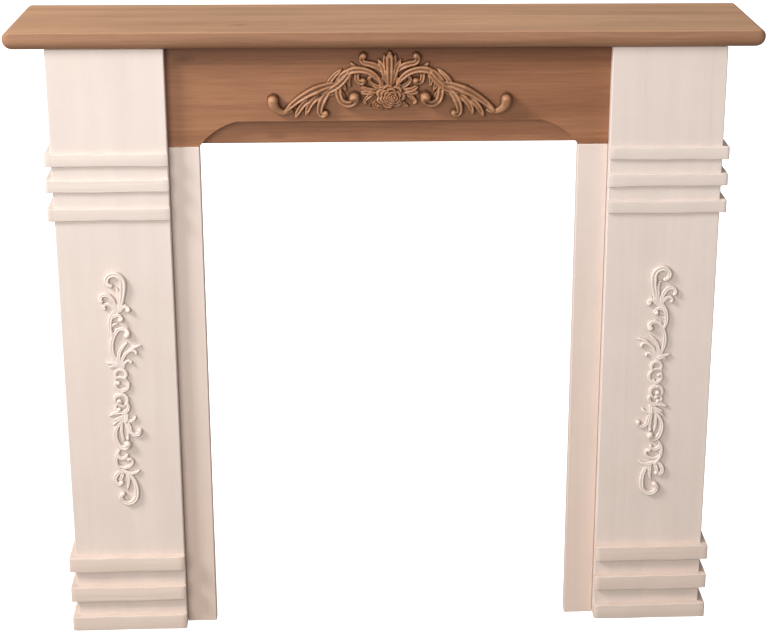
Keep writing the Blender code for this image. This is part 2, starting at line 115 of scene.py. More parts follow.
# Creases are darkened with painted shade. They are found within CREASE_REACH modules, and are full at
# CREASE_DEPTH.
CREASE_REACH = 3.5
CREASE_DEPTH = 1.4
OUTLINE_CREASE_SHADE = 0.5
FOOT_CREASE_SHADE = 1.0

# Colours of the stained timber and of the paint
Stain = namedtuple("Stain", "dark middle light")
SHELF_STAIN = Stain((0.38, 0.195, 0.102), (0.52, 0.29, 0.162), (0.64, 0.38, 0.222))
FRIEZE_STAIN = Stain((0.26, 0.108, 0.050), (0.375, 0.168, 0.083), (0.46, 0.225, 0.122))
RAIL_STAIN = Stain((0.25, 0.105, 0.05), (0.36, 0.16, 0.08), (0.44, 0.21, 0.11))
CARVING_STAIN = Stain((0.33, 0.15, 0.072), (0.44, 0.215, 0.11), (0.55, 0.29, 0.16))
CREAM = (0.755, 0.655, 0.605)
WARM_CREAM = (0.715, 0.61, 0.555)
SLIP_CREAM = (0.77, 0.65, 0.59)
LATH_CREAM = (0.75, 0.65, 0.595)
CARVED_CREAM = (0.79, 0.685, 0.63)
CARVED_WARM_CREAM = (0.74, 0.63, 0.565)
KNOT_DARKNESS = 0.42
# How dark the painted shade in the carvings' creases goes, on the stain and on the cream
STAIN_CREASE_SHADE = 0.25
CREAM_CREASE_SHADE = 0.45
SPECULAR = 0.35

# Painted shade: the frieze darkens under the shelf and towards the right, and the paint darkens and warms
# towards the foot. The shelf's edge is also darker and redder than its top.
UNDER_SHELF_SHADE_DEPTH = 0.036
UNDER_SHELF_SHADE_TINT = (0.48, 0.39, 0.33)
RIGHT_SHADE_TINT = (0.78, 0.74, 0.71)
RIGHT_FADE = 0.35
EDGE_START = 0.0001
EDGE_FADE = 0.0012
EDGE_TINT = (0.71, 0.655, 0.66)
FOOT_SHADE_FROM = 0.75
FOOT_SHADE_FULL = 0.10
FOOT_SHADE_TINT = (0.86, 0.77, 0.69)

# Scales of the patterns, along and across the grain or the brush marks
KNOT_SCALE = (4.2, 11, 11)
BROAD_SCALE = (1.3, 26, 26)
STREAK_SCALE = (5, 190, 190)
FIBRE_SCALE = (22, 900, 900)
BLOTCH_SCALE = (3.5, 9, 9)
BRUSH_SCALE = (7, 260)
BOARD_SCALE = (1.6, 34)
MOTTLE_SCALE = (14, 14, 14)
SPECK_SCALE = (420, 420, 420)

# Floor
FLOOR_HALF = 60.0
FLOOR_DROP = 0.0005
FLOOR_GLOW = 0.98

# Sky, lamps and camera, fitted to the photograph. The sky is brighter on the side that SKY_SIDE names.
SKY_SIDE = (-0.42, -0.42, 0.80)
SKY_COLOUR = (1.0, 0.975, 0.94)
SKY_STRENGTH = 0.50
SKY_LOW = 0.24
SKY_FADE = (-0.2, 0.35)
Lamp = namedtuple("Lamp", "name place target size power colour")
LAMPS = (
    Lamp("key", (-3.5, -1.8, 3.55), (0, 0, 0.5), 1.35, 196, (1, 0.995, 0.99)),
    Lamp("front", (-1.1, -2.9, 1.5), (0, 0, 0.55), 1.8, 48, (1, 0.97, 0.93)),
)
IMAGE_WIDTH = 768
FOCAL_PIXELS = 1913.63
SENSOR = 36.0
CAMERA_PLACE = (-0.0816, -2.8389, 1.5138)
CAMERA_YAW = 0.0652
CAMERA_PITCH = 0.3373
CAMERA_ROLL = 0.0088
CAMERA_SEES = 200
SHIFT_PIXELS = (70.66, -17.37)

# A stroke of carving runs from its root to its tip along an arc that bows to its left by bow, then
# turns on by turn degrees in a curl that starts at radius curl. The last four are its half-widths.
Stroke = namedtuple("Stroke", "root tip bow curl turn start belly neck end")
Bead = namedtuple("Bead", "centre radius")
BELLY_AT = 0.4
NECK_AT = 0.85

PILASTER_STROKES = (
    Stroke((3, 128), (10.5, 168), -2, 15, 265, 2.5, 5.0, 3.4, 3.4),
    Stroke((1, 128), (2, 158), -2, 5, 70, 2.0, 3.0, 2.0, 1.4),
    Stroke((-2, 126), (-9, 147), -2, 10, 190, 2.4, 3.4, 2.8, 3.0),
    Stroke((-3, 122), (-9, 134), -1, 7, 190, 2.2, 2.8, 2.4, 2.4),
    Stroke((-1, 124), (-3, 144), 1, 0, 0, 1.8, 2.2, 1.6, 1.0),
    Stroke((0, 124), (11, 142), -1.5, 0, 0, 1.8, 2.2, 1.4, 0.9),
    Stroke((1, 122), (13, 136), -1.5, 0, 0, 1.8, 2.2, 1.4, 0.9),
    Stroke((0, 121), (10, 131), 2, 6.5, -120, 2.2, 2.6, 2.6, 3.8),
    Stroke((-11, 105), (-1, 118), 3, 6.5, -150, 2.2, 2.8, 2.6, 4.0),
    Stroke((-11, 99), (0, 105), 1.5, 0, 0, 2.0, 2.4, 1.6, 1.0),
    Stroke((-1, 128), (-9, 88), -6, 0, 0, 2.5, 3.2, 2.8, 2.4),
    Stroke((1, 38), (-2, 93), 10, 11, -190, 2.4, 3.2, 2.8, 4.5),
    Stroke((-3, 96), (14, 99), -1, 0, 0, 2.0, 2.4, 1.6, 1.0),
    Stroke((1, 35), (12, 74), 7, 0, 0, 2.0, 3.0, 2.4, 1.4),
    Stroke((4, 36), (16, 62), 5, 8, -130, 2.0, 2.8, 2.2, 2.2),
    Stroke((12, 60), (32, 70), 2, 0, 0, 1.8, 2.8, 1.8, 1.0),
    Stroke((6, 36), (13, 46), 2.5, 4, -120, 1.8, 2.4, 2.0, 2.2),
    Stroke((3, 33), (-19, 43), -3, 0, 0, 2.4, 3.4, 2.2, 1.2),
    Stroke((4, 35), (-15, 36), -2, 0, 0, 2.0, 2.6, 1.8, 1.0),
    Stroke((-5.2, 18.8), (6.2, 18.8), 13.6, 0, 0, 2.0, 2.6, 2.6, 2.2),
    Stroke((7.2, 15.7), (-7, 12.3), 16.2, 0, 0, 2.2, 2.8, 2.6, 2.2),
    Stroke((-7, 18), (8, 16), 3, 0, 0, 2.0, 2.2, 2.2, 2.0),
    Stroke((4, 2), (-2, -9), 1, 0, 0, 2.4, 2.4, 2.4, 2.4),
    Stroke((-7.1, -24.3), (5.1, -24.3), 16.6, 0, 0, 2.2, 2.8, 2.6, 2.2),
    Stroke((5, -26), (-3, -19), 4, 0, 0, 2.0, 2.6, 3.0, 4.0),
    Stroke((-9, -25), (9, -24), -13, 0, 0, 2.0, 3.0, 2.8, 2.4),
    Stroke((3, -38), (-19, -43), -3, 0, 0, 2.4, 3.4, 2.0, 1.0),
    Stroke((9, -41), (-13, -50), -1, 0, 0, 1.8, 2.4, 1.8, 1.2),
    Stroke((8, -43), (-14, -57), -1.5, 0, 0, 1.8, 2.4, 1.8, 1.2),
    Stroke((5, -35), (5, -52), 1, 0, 0, 2.6, 3.0, 3.0, 2.4),
    Stroke((5, -49), (19, -45), -4, 0, 0, 1.8, 2.8, 2.4, 1.6),
    Stroke((4, -46), (10.5, -66), 1, 10, 195, 2.2, 3.0, 3.0, 3.4),
    Stroke((2, -50), (-7, -91), -9, 9.5, 155, 2.2, 3.0, 3.8, 5.4),
    Stroke((0, -52), (1, -84), -3, 0, 0, 1.8, 2.4, 2.0, 1.2),
    Stroke((3, -52), (6, -80), 2, 0, 0, 2.0, 2.6, 2.2, 2.6),
    Stroke((-4, -95), (-4, -136), -9, 0, 0, 2.2, 2.8, 2.4, 2.2),
    Stroke((-9, -102), (4, -107), -8, 0, 0, 2.0, 3.0, 2.6, 2.4),
    Stroke((-9, -125), (11, -121), -5, 6, 150, 2.0, 2.6, 2.4, 3.0),
    Stroke((-5, -132), (21, -133), -5, 0, 0, 2.2, 3.0, 2.2, 1.2),
    Stroke((-2, -133), (-16, -146), -3, 8.5, 165, 2.4, 3.2, 3.0, 3.2),
    Stroke((-2, -134), (-8, -153), -1, 0, 0, 2.0, 3.0, 2.6, 1.6),
    Stroke((1, -134), (1, -165), 3, 0, 0, 2.0, 3.0, 2.0, 1.0),
    Stroke((1, -134), (15, -176), 6, 15, -230, 2.2, 3.6, 3.2, 3.6),
)
PILASTER_BEADS = (Bead((-3.5, 10.5), 3.4), Bead((-4, -32), 3.2))

HALF_FRIEZE_STROKES = (
    Stroke((-72, -2), (-150, -42), -8, 0, 0, 2.4, 5.6, 3.8, 3.4),
    Stroke((-104, -19), (-135, -50), -5, 0, 0, 2.8, 4.4, 3.4, 2.4),
    Stroke((-94, -16), (-120, -46), -5, 0, 0, 2.8, 4.4, 3.4, 2.4),
    Stroke((-84, -12), (-101, -42), -4, 6.5, 170, 2.8, 5.0, 3.6, 3.8),
    Stroke((-97, -17), (-53, 24), -7, 0, 0, 3.0, 4.4, 3.2, 1.2),
    Stroke((-90, -14), (-62, 12), -5, 0, 0, 2.4, 3.6, 2.8, 1.4),
    Stroke((-92, -21), (-68, 3), -4, 0, 0, 2.0, 3.0, 2.4, 1.4),
    Stroke((-92, -11), (-69, 18), 3, 0, 0, 2.0, 3.4, 2.4, 1.2),
    Stroke((-78, -3), (-12, -3), 21, 0, 0, 2.6, 4.4, 3.6, 2.4),
    Stroke((-67, 11), (-72, -23), -4, 14.5, 185, 2.6, 4.4, 4.4, 6.4),
    Stroke((-66, 12), (-63, -24), -7, 0, 0, 2.0, 2.8, 2.2, 1.2),
    Stroke((-63, 13), (-69, -19), -6, 0, 0, 2.2, 3.2, 2.4, 1.4),
    Stroke((-57, 15), (-63, -13), -6, 0, 0, 2.2, 3.2, 2.4, 1.4),
    Stroke((-51, 17), (-57, -7), -5, 0, 0, 2.2, 3.2, 2.4, 1.4),
    Stroke((-40, 19), (-46, 2), -4, 6, 140, 2.4, 3.4, 3.2, 4.0),
    Stroke((-44, 20), (-56, 28), 1, 0, 0, 2.2, 2.4, 1.8, 1.0),
    Stroke((-8, 13), (-33, 27), -3, 9, -150, 3.0, 4.0, 3.4, 4.0),
    Stroke((-12, 4), (-12, -8), 0, 0, 0, 3.0, 3.0, 3.0, 3.0),
    Stroke((-3, -4), (-8, 39), -1, 0, 0, 2.4, 3.8, 3.0, 1.4),
    Stroke((-4, -4), (-16, 32), -2, 0, 0, 2.4, 3.8, 2.8, 1.4),
    Stroke((-2, -6), (-29, 1), 5, 5, -110, 2.4, 3.0, 2.4, 2.4),
    Stroke((-14, -12), (-41, -5), 4, 0, 0, 2.4, 3.8, 2.8, 1.2),
    Stroke((-16, -12), (-42, -15), 2, 0, 0, 2.4, 3.4, 2.6, 1.2),
    Stroke((-18, -16), (-36, -27), -2, 4, 110, 2.2, 3.0, 2.4, 2.2),
    Stroke((-14, -26), (-27, -36), 2, 0, 0, 2.4, 3.2, 2.2, 1.2),
)
HALF_FRIEZE_HOOK = Stroke((-142, -42), (-168, -25), 9, 0, 0, 2.8, 4.2, 6.2, 6.4)
MIDDLE_STROKES = (
    Stroke((0, -8), (0, 42), 0, 0, 0, 3.0, 4.4, 4.6, 2.6),
    Stroke((2, -26), (-1, -39), 0, 0, 0, 4.0, 4.4, 3.2, 1.6),
)

# Each cup of a rose, from the outermost in. Its petals are the scallops of its edge, and its lip rolls
# over near the edge. Every cup is turned on from the last by ROSE_TWIST radians.
Cup = namedtuple("Cup", "petals radius floor lip")
ROSE_CENTRE = (1, -21)
ROSE_STRETCH = 1.22
ROSE_SCALLOP = 0.2
ROSE_TWIST = 1.9
ROSE_LIP_WIDTH = 0.22
ROSE_EDGE_HEIGHT = 0.3
ROSE_CUPS = (
    Cup(7, 18.5, 7.0, 13.0),
    Cup(6, 14.0, 10.0, 17.0),
    Cup(5, 9.8, 13.0, 20.0),
    Cup(4, 6.2, 15.5, 22.0),
    Cup(3, 3.0, 18.0, 22.5),
)
BUD_CENTRE = (-17, -33)
BUD_CUPS = (Cup(5, 7.5, 7.0, 13.0), Cup(4, 4.2, 9.5, 15.5), Cup(3, 2.0, 13.0, 16.5))


def add_object(name, mesh, material):
    obj = bpy.data.objects.new(name, mesh)
    bpy.context.scene.collection.objects.link(obj)
    obj.data.materials.append(material)
    return obj


def stand_for(obj, node):
    """A finer piece in place of a solid of the frame."""
    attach(obj, "root")
    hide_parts(node)


def smooth_but_for(mesh, degrees):
    """Smooth shading, but for the edges that turn by more than an angle."""
    mesh.polygons.foreach_set("use_smooth", [True] * len(mesh.polygons))
    mesh.set_sharp_from_angle(angle=math.radians(degrees))


def quarter_turn(steps):
    """The angles of a quarter turn, its two ends included."""
    return [math.pi / 2 * step / steps for step in range(steps + 1)]


def stroke_path(stroke):
    """The stroke's centre line in modules, and the share of the way along at each point."""
    root, tip = Vector(stroke.root), Vector(stroke.tip)
    chord = tip - root
    half_angle = 2 * math.atan2(2 * abs(stroke.bow), chord.length)
    swing = math.copysign(half_angle, stroke.bow)
    heading = math.atan2(chord.y, chord.x) + swing
    arc_length = chord.length
    if half_angle > 0:
        arc_length = chord.length * half_angle / math.sin(half_angle)
    turned = math.degrees(2 * half_angle)
    steps = max(STROKE_LEAST_STEPS, math.ceil(arc_length / STROKE_STEP), math.ceil(turned / STROKE_TURN))
    turn_each = -2 * swing / steps
    point = root.copy()
    points = [point.copy()]
    for _ in range(steps):
        middle = heading + turn_each / 2
        point += Vector((math.cos(middle), math.sin(middle))) * arc_length / steps
        heading += turn_each
        points.append(point.copy())
    curl_steps = math.ceil(abs(stroke.turn) / STROKE_TURN)
    for step in range(curl_steps):
        each = math.radians(stroke.turn) / curl_steps
        radius = stroke.curl * (1 - CURL_SHRINK * (step + 0.5) / curl_steps)
        middle = heading + each / 2
        point += Vector((math.cos(middle), math.sin(middle))) * radius * abs(each)
        heading += each
        points.append(point.copy())
    travelled = [0.0]
    for a, b in zip(points, points[1:]):
        travelled.append(travelled[-1] + (b - a).length)
    return points, [t / travelled[-1] for t in travelled]


def stroke_half_width(stroke, share):
    stops = ((0.0, stroke.start), (BELLY_AT, stroke.belly), (NECK_AT, stroke.neck), (1.0, stroke.end))
    for (a, wide_a), (b, wide_b) in zip(stops, stops[1:]):
        if share <= b:
            return wide_a + (wide_b - wide_a) * (share - a) / (b - a)
    return stroke.end


def mirrored_stroke(stroke):
    return stroke._replace(
        root=(-stroke.root[0], stroke.root[1]),
        tip=(-stroke.tip[0], stroke.tip[1]),
        bow=-stroke.bow,
        turn=-stroke.turn,
    )


class Relief:
    """A field of heights over the carving's ground, in modules; margin is above 0 inside the outline."""

    def __init__(self, low, high, spacing):
        self.spacing = spacing
        self.x = np.arange(low[0], high[0] + spacing, spacing)
        self.z = np.arange(low[1], high[1] + spacing, spacing)
        self.height = np.zeros((len(self.x), len(self.z)))
        self.margin = np.full((len(self.x), len(self.z)), -1.0)

    def patch(self, low, high):
        """The part of the field between two corners, and where its points lie."""
        window = (
            slice(np.searchsorted(self.x, low[0]), np.searchsorted(self.x, high[0])),
            slice(np.searchsorted(self.z, low[1]), np.searchsorted(self.z, high[1])),
        )
        x, z = np.meshgrid(self.x[window[0]], self.z[window[1]], indexing="ij")
        return window, x, z

    def patch_round(self, centre, radius):
        reach = radius + 2 * self.spacing
        low = (centre[0] - reach, centre[1] - reach)
        high = (centre[0] + reach, centre[1] + reach)
        return self.patch(low, high)

    def lay(self, window, height, margin):
        self.height[window] = np.maximum(self.height[window], np.where(margin > 0, height, 0.0))
        self.margin[window] = np.maximum(self.margin[window], margin)

    def stroke(self, stroke, relief, fullness, channel=CHANNEL_DEPTH):
        """Lays one stroke: two rims and a channel where it is wide, a round ridge where it is slim."""
        points, shares = stroke_path(stroke)
        widths = [fullness * stroke_half_width(stroke, share) for share in shares]
        reach = max(widths) + 2 * self.spacing
        xs = [p.x for p in points]
        zs = [p.y for p in points]
        window, x, z = self.patch((min(xs) - reach, min(zs) - reach), (max(xs) + reach, max(zs) + reach))
        nearest = np.full(x.shape, np.inf)
        width = np.ones(x.shape)
        along = np.zeros(x.shape)
        for i in range(len(points) - 1):
            a, b = points[i], points[i + 1]
            dx, dz = b.x - a.x, b.y - a.y
            t = np.clip(((x - a.x) * dx + (z - a.y) * dz) / (dx * dx + dz * dz), 0, 1)
            w = widths[i] + (widths[i + 1] - widths[i]) * t
            u = np.hypot(x - a.x - t * dx, z - a.y - t * dz) / w
            closer = u < nearest
            nearest = np.where(closer, u, nearest)
            width = np.where(closer, w, width)
            along = np.where(closer, shares[i] + (shares[i + 1] - shares[i]) * t, along)
        inside = np.clip(nearest, 0, 1)
        opened = np.clip((width - CHANNEL_LEAST_WIDTH) / CHANNEL_WIDTH_FADE, 0, 1)
        opened *= np.clip((CHANNEL_END - along) / CHANNEL_END_FADE, 0, 1)
        opened *= np.clip(along / CHANNEL_START_FADE, 0, 1)
        grooved = 1 - channel * opened * np.exp(-((inside / CHANNEL_SPREAD) ** 2))
        swell = SWELL_START + SWELL_GAIN * along
        height = CARVING_EDGE + relief * width * swell * grooved * np.sqrt(1 - inside**3)
        self.lay(window, height, (1 - nearest) * width)

    def bead(self, centre, radius, height):
        """Lays a round boss."""
        window, x, z = self.patch_round(centre, radius)
        u = np.hypot(x - centre[0], z - centre[1]) / radius
        dome = np.sqrt(1 - np.clip(u, 0, 1) ** 4)
        self.lay(window, CARVING_EDGE + height * dome, (1 - u) * radius)

    def rose(self, centre, cups):
        """Lays scalloped cups one within another, each with its lip curled up."""
        window, x, z = self.patch_round(centre, cups[0].radius * ROSE_STRETCH)
        dx, dz = (x - centre[0]) / ROSE_STRETCH, z - centre[1]
        out = np.hypot(dx, dz)
        around = np.arctan2(dz, dx)
        for order, cup in enumerate(cups):
            bulge = np.abs(np.cos(cup.petals / 2 * around + ROSE_TWIST * order))
            edge = cup.radius * (1 - ROSE_SCALLOP * (1 - bulge**0.7))
            u = out / edge
            inside = np.clip(u, 0, 1)
            into_lip = np.clip((inside - (1 - ROSE_LIP_WIDTH)) / ROSE_LIP_WIDTH, 0, 1)
            rolled = ROSE_EDGE_HEIGHT + (1 - ROSE_EDGE_HEIGHT) * np.sqrt(1 - into_lip**3)
            height = (cup.floor + (cup.lip - cup.floor) * inside**2) * rolled
            self.height[window] = np.where(u < 1, height, self.height[window])
            self.margin[window] = np.maximum(self.margin[window], (1 - u) * cup.radius)

    def soften(self, times):
        """Rounds the creases between strokes a little, without moving the outline."""
        for _ in range(times):
            padded = np.pad(self.height, 1, mode="edge")
            inside = np.pad((self.margin > 0).astype(float), 1)
            total = np.zeros_like(self.height)
            weight = np.zeros_like(self.height)
            for dx, dz, share in ((0, 0, 4), (1, 0, 1), (-1, 0, 1), (0, 1, 1), (0, -1, 1)):
                across = slice(1 + dx, padded.shape[0] - 1 + dx)
                up = slice(1 + dz, padded.shape[1] - 1 + dz)
                total += padded[across, up] * inside[across, up] * share
                weight += inside[across, up] * share
            self.height = np.where(self.margin > 0, total / np.maximum(weight, 1e-9), self.height)

    def outline_crossing(self, a, b):
        """The point where the outline crosses the grid edge from a, inside, to b, outside."""
        inner, outer = self.margin[a], self.margin[b]
        t = inner / (inner - outer)
        x = self.x[a[0]] + (self.x[b[0]] - self.x[a[0]]) * t
        z = self.z[a[1]] + (self.z[b[1]] - self.z[a[1]]) * t
        return x, z

    def crease_shade_mask(self):
        """How far each point lies below its surroundings, from 0 on a crest to 1 in a deep crease, for
        painted shade.
        """
        inside = self.margin > 0
        total = np.where(inside, self.height, 0.0)
        weight = inside.astype(float)
        reach = round(CREASE_REACH / self.spacing)
        for axis in (0, 1):
            total = sum(np.roll(total, step, axis) for step in range(-reach, reach + 1))
            weight = sum(np.roll(weight, step, axis) for step in range(-reach, reach + 1))
        return np.clip((total / np.maximum(weight, 1) - self.height) / CREASE_DEPTH, 0, 1)


def relief_mesh(name, relief, unit):
    """The skin of a relief with its side walls; local x across, y up the board and z out of it."""
    vertices = []
    crease_shades = []
    crease_shade = relief.crease_shade_mask()
    faces = []
    top_index = {}
    rim_index = {}

    def top_vertex(corner):
        if corner not in top_index:
            top_index[corner] = len(vertices)
            vertices.append((relief.x[corner[0]], relief.z[corner[1]], relief.height[corner]))
            crease_shades.append(crease_shade[corner])
        return top_index[corner]

    def rim_vertices(a, b):
        """The vertex on the outline between two corners; the one after it is at the wall's foot."""
        if (a, b) not in rim_index:
            x, z = relief.outline_crossing(a, b)
            rim_index[a, b] = len(vertices)
            vertices.append((x, z, CARVING_EDGE))
            vertices.append((x, z, 0.0))
            crease_shades.extend((OUTLINE_CREASE_SHADE, FOOT_CREASE_SHADE))
        return rim_index[a, b]

    inside = relief.margin > 0
    corners_in = inside[:-1, :-1].astype(int) + inside[1:, :-1] + inside[1:, 1:] + inside[:-1, 1:]
    for i, j in np.argwhere(corners_in > 0):
        ring = [(i, j), (i + 1, j), (i + 1, j + 1), (i, j + 1)]
        face = []
        exits = []
        entries = []
        for here, following in zip(ring, ring[1:] + ring[:1]):
            if inside[here]:
                face.append(top_vertex(here))
                if not inside[following]:
                    exits.append(rim_vertices(here, following))
                    face.append(exits[-1])
            elif inside[following]:
                entries.append(rim_vertices(following, here))
                face.append(entries[-1])
        if len(face) > 2:
            faces.append(face)
        for leave, enter in zip(exits, entries):
            # The wall has a face on one side only of vertex 0, where it starts.
            if leave > 0:
                faces.append((enter, leave, leave + 1, enter + 1))
    mesh = bpy.data.meshes.new(name)
    mesh.from_pydata([(x * unit, z * unit, h * unit) for x, z, h in vertices], [], faces)
    # This attribute carries the painted shade of the creases, of the outline and of the walls' feet.
    mesh.attributes.new("crease_shade", "FLOAT", "POINT").data.foreach_set("value", crease_shades)
    mesh.validate()
    smooth_but_for(mesh, CARVING_SHARP_EDGE)
    return mesh


def hang_carving(name, mesh, material, node, board, middle):
    """Turns a carving's mesh upright and sets it on the front of its board."""
    low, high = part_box(board)
    place = Vector(((low.x + high.x) / 2, low.y - CARVING_CLEARANCE, middle))
    mesh.transform(Matrix.Translation(place) @ Matrix.Rotation(math.pi / 2, 4, "X"))
    stand_for(add_object(name, mesh, material), node)


def build_pilaster_carvings(material):
    relief = Relief(*PILASTER_GROUND)
    for stroke in PILASTER_STROKES:
        relief.stroke(stroke, PILASTER_RELIEF, PILASTER_FULLNESS)
    for bead in PILASTER_BEADS:
        relief.bead(bead.centre, bead.radius, bead.radius * PILASTER_BEAD_RISE)
    relief.soften(2)
    for side, word in ((-1, "left"), (1, "right")):
        mesh = relief_mesh(f"carving_{word}", relief, PILASTER_UNIT)
        if side > 0:
            mesh.transform(Matrix.Scale(-1, 4, Vector((1, 0, 0))))
            mesh.flip_normals()
        hang_carving(
            f"fine_carving_{word}",
            mesh,
            material,
            f"pilaster_carving_{word}",
            f"pilaster_front_{word}",
            PILASTER_CARVING_MIDDLE,
        )


def build_frieze_carving(material):
    relief = Relief(*FRIEZE_GROUND)
    for stroke in HALF_FRIEZE_STROKES:
        relief.stroke(stroke, FRIEZE_RELIEF, FRIEZE_FULLNESS)
        relief.stroke(mirrored_stroke(stroke), FRIEZE_RELIEF, FRIEZE_FULLNESS)
    for stroke in MIDDLE_STROKES:
        relief.stroke(stroke, FRIEZE_RELIEF, FRIEZE_FULLNESS)
    for hook in (HALF_FRIEZE_HOOK, mirrored_stroke(HALF_FRIEZE_HOOK)):
        relief.stroke(hook, FRIEZE_RELIEF, FRIEZE_FULLNESS, channel=0.0)
    relief.rose(BUD_CENTRE, BUD_CUPS)
    relief.rose(ROSE_CENTRE, ROSE_CUPS)
    relief.soften(1)
    mesh = relief_mesh("carving_frieze", relief, FRIEZE_UNIT)
    hang_carving(
        "fine_carving_frieze",
        mesh,
        material,
        "frieze_carving",
        "frieze_board",
        FRIEZE_CARVING_MIDDLE,
    )


def rounded_inset(radius, from_face):
    """How far a rounded edge lies inside its outermost line, at a distance from the face it meets."""
    if from_face >= radius:
        return 0.0
    return radius - math.sqrt(radius**2 - (radius - from_face) ** 2)


def shelf_levels(low, high):
    """The levels of the shelf's rings, from its top to its underside."""
    drops = []
    for radius, first in ((SHELF_TOP_ROUND, 0), (SHELF_END_ROUND, SHELF_END_FIRST_STEP)):
        drops += [radius * (1 - math.cos(angle)) for angle in quarter_turn(SHELF_ROUND_STEPS)[first:]]
    for angle in quarter_turn(SHELF_ROUND_STEPS):
        drops.append(high.z - low.z - SHELF_UNDER_ROUND * (1 - math.sin(angle)))
    return [high.z - drop for drop in drops]


def shelf_ring(low, high, z):
    """The shelf's outline at one level, from the right end of its back round the front to the left."""
    under = rounded_inset(SHELF_UNDER_ROUND, z - low.z)
    front_inset = rounded_inset(SHELF_TOP_ROUND, high.z - z) + under
    end_inset = rounded_inset(SHELF_END_ROUND, high.z - z) + under
    half = [(high.x - end_inset, high.y)]
    for angle in quarter_turn(SHELF_CORNER_STEPS):
        out = (SHELF_CORNER_ROUND - end_inset) * math.cos(angle) ** SHELF_END_FULLNESS
        forward = (SHELF_CORNER_ROUND - front_inset) * math.sin(angle) ** SHELF_END_FULLNESS
        half.append((high.x - SHELF_CORNER_ROUND + out, low.y + SHELF_CORNER_ROUND - forward))
    skew = {word: most / (high.y - low.y) for word, most in SHELF_SKEW.items()}
    ring = [(x + skew["right"] * (high.y - y), y, z) for x, y in half]
    return ring + [(-x - skew["left"] * (high.y - y), y, z) for x, y in reversed(half)]


def shelf_mesh():
    """The shelf with its moulded front and ends in fine steps."""
    low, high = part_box("mantel_shelf")
    rings = []
    vertices = []
    for z in shelf_levels(low, high):
        ring = shelf_ring(low, high, z)
        rings.append(range(len(vertices), len(vertices) + len(ring)))
        vertices += ring
    faces = [list(reversed(rings[0])), list(rings[-1])]
    for upper, lower in zip(rings, rings[1:]):
        for k in range(len(upper) - 1):
            faces.append((upper[k], upper[k + 1], lower[k + 1], lower[k]))
    faces.append([ring[0] for ring in rings] + [ring[-1] for ring in reversed(rings)])
    mesh = bpy.data.meshes.new("shelf")
    mesh.from_pydata(vertices, [], faces)
    smooth_but_for(mesh, SHARP_EDGE)
    return mesh


def darkened(colour, share):
    return tuple(share * channel for channel in colour)


